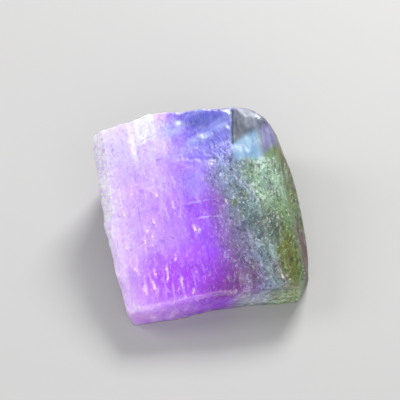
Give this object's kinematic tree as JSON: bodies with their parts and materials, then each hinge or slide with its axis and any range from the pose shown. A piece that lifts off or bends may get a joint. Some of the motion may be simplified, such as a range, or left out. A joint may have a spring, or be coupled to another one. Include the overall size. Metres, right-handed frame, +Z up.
{
  "type": "elbaite crystal",
  "caption": "Loose broken length of one elbaite prism, pink and violet inside, green along its striated natural face, resting on a flat broken facet.",
  "frame": {"origin": "middle of the crystal's outline seen from above, at the level of the facet that it rests on", "axes": "+Z up from the resting facet, -Y towards the foot and the viewer of the picture, +X towards the green natural face"},
  "size_m": [0.029, 0.031, 0.0142],
  "materials": {
    "elbaite": "translucent tourmaline, vitreous on the parting faces, frosted on the etched ones"
  },
  "bodies": {
    "root": {"elbaite_crystal": "elbaite"}
  },
  "joints": []
}
